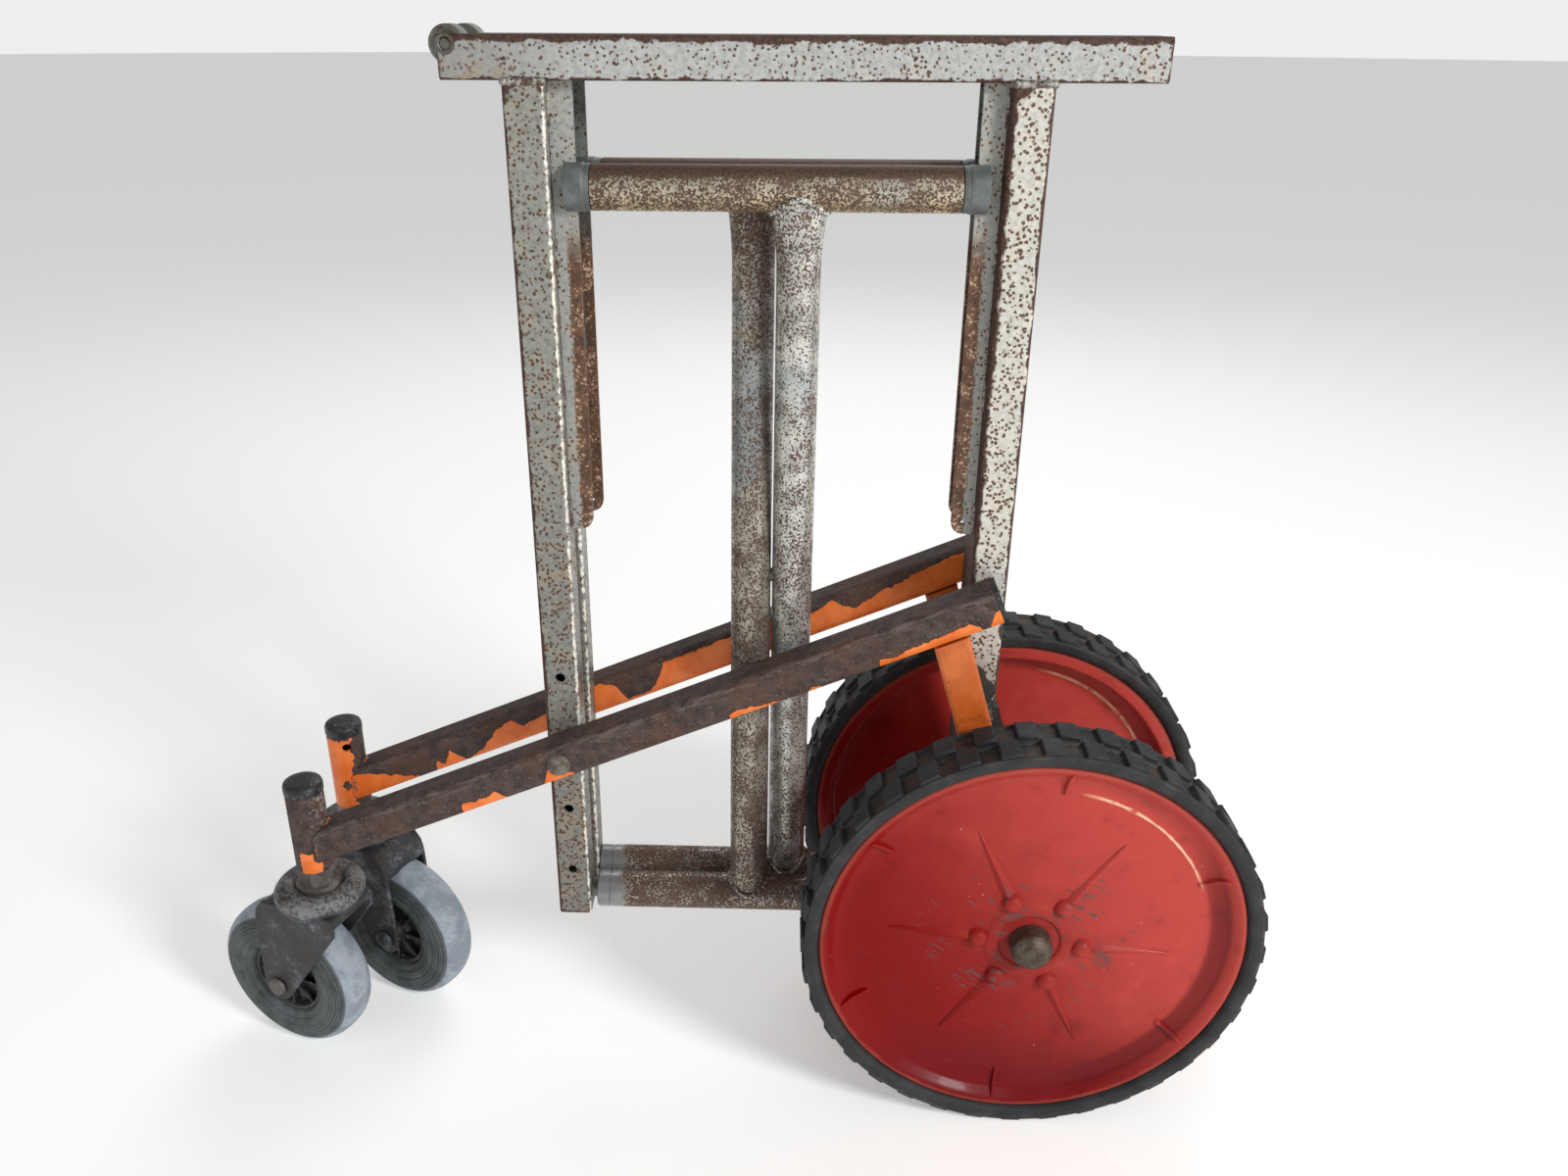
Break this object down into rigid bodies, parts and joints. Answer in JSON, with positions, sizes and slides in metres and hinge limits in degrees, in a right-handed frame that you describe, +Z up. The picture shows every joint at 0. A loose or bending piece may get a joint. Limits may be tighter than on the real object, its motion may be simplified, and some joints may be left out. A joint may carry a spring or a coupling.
{
  "type": "folding wheeled carrier",
  "caption": "Folding wheeled carrier: two upright tube frames joined by crossed T-bars, sloping arms down to swivel castors, large rear wheels.",
  "frame": {"origin": "On the floor, under the middle of the whole carrier.", "axes": "+X from the castors towards the large wheels, +Y from the near frame to the far frame, +Z up"},
  "size_m": [0.9574, 0.283, 0.9145],
  "materials": {
    "grey_paint": "hammertone paint, speckled with rust",
    "guide_steel": "grey paint worn to brown steel",
    "pipe_rust": "cream paint under dark brown rust",
    "arm_rust": "dark rust with remains of orange paint",
    "orange_paint": "gloss orange paint",
    "bare_steel": "worn bare steel",
    "dark_steel": "greasy dark steel",
    "grey_bush": "smooth blue-grey plastic",
    "black_plastic": "scuffed black plastic",
    "red_plastic": "glossy red moulding",
    "black_rubber": "dusty black tread rubber",
    "grey_rubber": "worn light blue-grey rubber"
  },
  "bodies": {
    "near_frame": {"near_top_rail": "grey_paint", "near_front_leg": "grey_paint", "near_rear_leg": "grey_paint", "near_front_guide": "guide_steel", "near_rear_guide": "guide_steel", "near_pivot_rod": "bare_steel", "near_arm": "arm_rust", "near_castor_sleeve": "arm_rust", "near_sleeve_cap": "black_plastic", "near_arm_plug": "black_plastic", "near_wheel_strut": "orange_paint", "near_strut_strip": "dark_steel", "near_wheel_axle": "bare_steel", "near_arm_bolt": "bare_steel", "near_arm_nut": "bare_steel", "near_castor_stem": "dark_steel"},
    "far_frame": {"far_top_rail": "grey_paint", "far_front_leg": "grey_paint", "far_rear_leg": "grey_paint", "far_front_guide": "guide_steel", "far_rear_guide": "guide_steel", "far_pivot_rod": "bare_steel", "far_arm": "arm_rust", "far_castor_sleeve": "arm_rust", "far_sleeve_cap": "black_plastic", "far_arm_plug": "black_plastic", "far_wheel_strut": "orange_paint", "far_strut_strip": "dark_steel", "far_wheel_axle": "bare_steel", "far_arm_bolt": "bare_steel", "far_arm_nut": "bare_steel", "far_castor_stem": "dark_steel"},
    "left_tbar": {"left_tbar_foot_pipe": "pipe_rust", "left_tbar_post": "pipe_rust", "left_tbar_crossbar": "pipe_rust", "tbar_pivot_pin": "bare_steel"},
    "left_tbar_bushes": {"left_tbar_front_bush": "grey_bush", "left_tbar_rear_bush": "grey_bush"},
    "right_tbar": {"right_tbar_foot_pipe": "pipe_rust", "right_tbar_post": "pipe_rust", "right_tbar_crossbar": "pipe_rust"},
    "right_tbar_bushes": {"right_tbar_front_bush": "grey_bush", "right_tbar_rear_bush": "grey_bush"},
    "near_wheel": {"near_tyre": "black_rubber", "near_wheel_disc": "red_plastic", "near_hub_cap": "bare_steel"},
    "near_castor_swivel": {"near_castor_fork": "dark_steel", "near_castor_axle_bolt": "dark_steel"},
    "near_castor_wheel": {"near_castor_tyre": "grey_rubber", "near_castor_core": "black_plastic"},
    "near_roller": {"near_rail_roller": "bare_steel"},
    "far_wheel": {"far_tyre": "black_rubber", "far_wheel_disc": "red_plastic", "far_hub_cap": "bare_steel"},
    "far_castor_swivel": {"far_castor_fork": "dark_steel", "far_castor_axle_bolt": "dark_steel"},
    "far_castor_wheel": {"far_castor_tyre": "grey_rubber", "far_castor_core": "black_plastic"},
    "far_roller": {"far_rail_roller": "bare_steel"}
  },
  "joints": [
    {"name": "fold", "type": "hinge", "parent": "near_frame", "child": "left_tbar", "pos_m": [0.0535, -0.0205, 0.168], "axis": [-1, 0, 0], "range_deg": [0, 49]},
    {"name": "tbar_cross", "type": "hinge", "parent": "left_tbar", "child": "right_tbar", "pos_m": [0.0535, 0, 0.4865], "axis": [-1, 0, 0], "range_deg": [-98, 0]},
    {"name": "far_frame_foot", "type": "hinge", "parent": "right_tbar", "child": "far_frame", "pos_m": [0.0565, 0.0205, 0.168], "axis": [-1, 0, 0], "range_deg": [0, 49]},
    {"name": "left_tbar_bush_turn", "type": "hinge", "parent": "left_tbar", "child": "left_tbar_bushes", "pos_m": [0.0565, 0.0205, 0.805], "axis": [-1, 0, 0], "range_deg": [-49, 0]},
    {"name": "right_tbar_bush_turn", "type": "hinge", "parent": "right_tbar", "child": "right_tbar_bushes", "pos_m": [0.0535, -0.0205, 0.805], "axis": [-1, 0, 0], "range_deg": [0, 49]},
    {"name": "near_wheel_spin", "type": "hinge", "parent": "near_frame", "child": "near_wheel", "pos_m": [0.2809, -0.1055, 0.197], "axis": [0, 1, 0], "continuous": true},
    {"name": "near_castor_turn", "type": "hinge", "parent": "near_frame", "child": "near_castor_swivel", "pos_m": [-0.36, -0.0518, 0.185], "axis": [0, 0, 1], "range_deg": [-15, 165]},
    {"name": "near_castor_spin", "type": "hinge", "parent": "near_castor_swivel", "child": "near_castor_wheel", "pos_m": [-0.40108, -0.03603, 0.077], "axis": [-0.3584, -0.9336, 0], "continuous": true},
    {"name": "near_roller_spin", "type": "hinge", "parent": "near_frame", "child": "near_roller", "pos_m": [-0.1785, -0.0205, 0.9015], "axis": [0, 1, 0], "continuous": true},
    {"name": "far_wheel_spin", "type": "hinge", "parent": "far_frame", "child": "far_wheel", "pos_m": [0.2839, 0.1055, 0.197], "axis": [0, 1, 0], "continuous": true},
    {"name": "far_castor_turn", "type": "hinge", "parent": "far_frame", "child": "far_castor_swivel", "pos_m": [-0.357, 0.0518, 0.185], "axis": [0, 0, 1], "range_deg": [-15, 165]},
    {"name": "far_castor_spin", "type": "hinge", "parent": "far_castor_swivel", "child": "far_castor_wheel", "pos_m": [-0.31712, 0.0332, 0.077], "axis": [0.4226, 0.9063, 0], "continuous": true},
    {"name": "far_roller_spin", "type": "hinge", "parent": "far_frame", "child": "far_roller", "pos_m": [-0.1755, 0.0205, 0.9015], "axis": [0, 1, 0], "continuous": true}
  ],
  "couplings": [
    {"joint": "tbar_cross", "follows": "fold", "ratio": -2},
    {"joint": "far_frame_foot", "follows": "fold", "ratio": 1},
    {"joint": "left_tbar_bush_turn", "follows": "fold", "ratio": -1},
    {"joint": "right_tbar_bush_turn", "follows": "fold", "ratio": 1}
  ]
}
